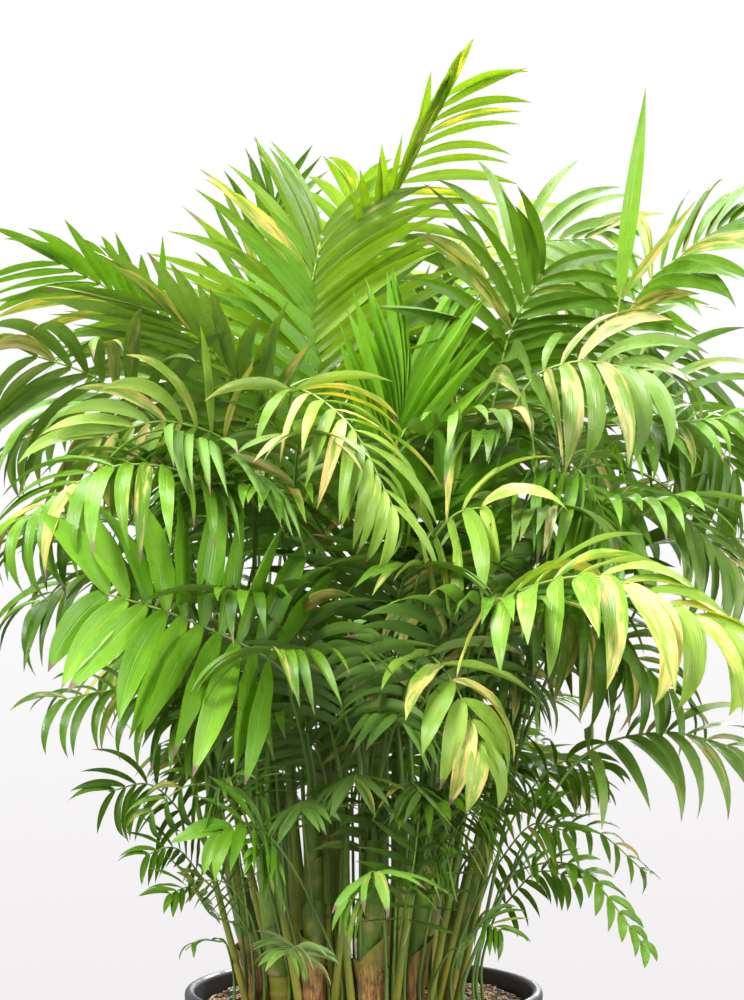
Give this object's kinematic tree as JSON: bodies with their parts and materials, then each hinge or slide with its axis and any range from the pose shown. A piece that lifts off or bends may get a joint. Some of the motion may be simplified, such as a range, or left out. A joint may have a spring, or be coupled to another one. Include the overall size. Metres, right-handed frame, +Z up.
{
  "type": "potted parlour palm",
  "caption": "Dense clump of slender canes with arching feathery fronds of narrow leaflets, growing from soil in a round tapered plastic pot with a thick rim; stands on a floor or table.",
  "frame": {"origin": "centre of the pot's flat base, on the surface that it stands on", "axes": "+Z up along the plant's height; the plant's front, as pictured, looks along -Y; +X is to the viewer's right"},
  "size_m": [0.6224, 0.6148, 0.9315],
  "materials": {
    "pot_plastic": "satin",
    "potting_soil": "matte",
    "cane_skin": "satin",
    "leaf_fresh": "satin",
    "leaf_backlit": "satin",
    "leaf_mature": "satin",
    "leaf_grey": "satin",
    "leaf_pale": "satin"
  },
  "bodies": {
    "root": {"pot": "pot_plastic", "soil": "potting_soil", "cane_left_outer": "cane_skin", "cane_left_ringed": "cane_skin", "cane_left_front": "cane_skin", "cane_middle_tall": "cane_skin", "cane_front_papery": "cane_skin", "cane_right_front": "cane_skin", "cane_right_outer": "cane_skin", "cane_core": "cane_skin", "cane_back_left": "cane_skin", "cane_back_right": "cane_skin", "frond_top_spire": "leaf_backlit", "frond_backlit_fan": "leaf_backlit", "frond_thin_spire": "leaf_mature", "frond_pale_crown": "leaf_pale", "frond_far_back_right": "leaf_pale", "frond_grey_sweep": "leaf_grey", "frond_far_left_arch": "leaf_fresh", "frond_left_arch": "leaf_grey", "frond_left_front_droop": "leaf_fresh", "frond_centre_cascade": "leaf_pale", "frond_front_left_bright": "leaf_fresh", "frond_front_right_pale": "leaf_pale", "frond_small_arch": "leaf_pale", "frond_low_centre_hang": "leaf_pale", "frond_low_right_hang": "leaf_grey", "frond_right_feather": "leaf_mature", "frond_lance": "leaf_fresh", "frond_right_folded": "leaf_grey", "frond_right_cascade": "leaf_mature", "frond_centre_upright": "leaf_fresh", "frond_star_fan": "leaf_fresh", "frond_right_arch_high": "leaf_grey", "frond_right_arch_tall": "leaf_mature", "frond_right_arch_mid": "leaf_mature", "frond_right_grey_droop": "leaf_grey", "frond_right_dark_low": "leaf_mature", "frond_right_back_droop": "leaf_mature", "frond_right_wisp": "leaf_fresh", "frond_left_low_droop": "leaf_mature", "frond_left_wisp": "leaf_mature", "frond_left_back_droop": "leaf_mature", "frond_left_tan": "leaf_pale", "frond_inner_left": "leaf_mature", "frond_inner_right": "leaf_mature", "frond_back_high_left": "leaf_fresh", "frond_back_high_right": "leaf_mature", "frond_back_low_left": "leaf_mature", "frond_back_low_right": "leaf_fresh", "frond_back_centre": "leaf_mature", "frond_curled_left": "leaf_mature", "frond_fine_left": "leaf_mature", "frond_seedling": "leaf_mature", "frond_bright_tuft": "leaf_fresh", "frond_brown_tip_fan": "leaf_fresh", "frond_low_right_short": "leaf_fresh", "frond_right_sprig": "leaf_mature", "frond_dark_ladder": "leaf_mature", "frond_inner_low": "leaf_mature"}
  },
  "joints": []
}
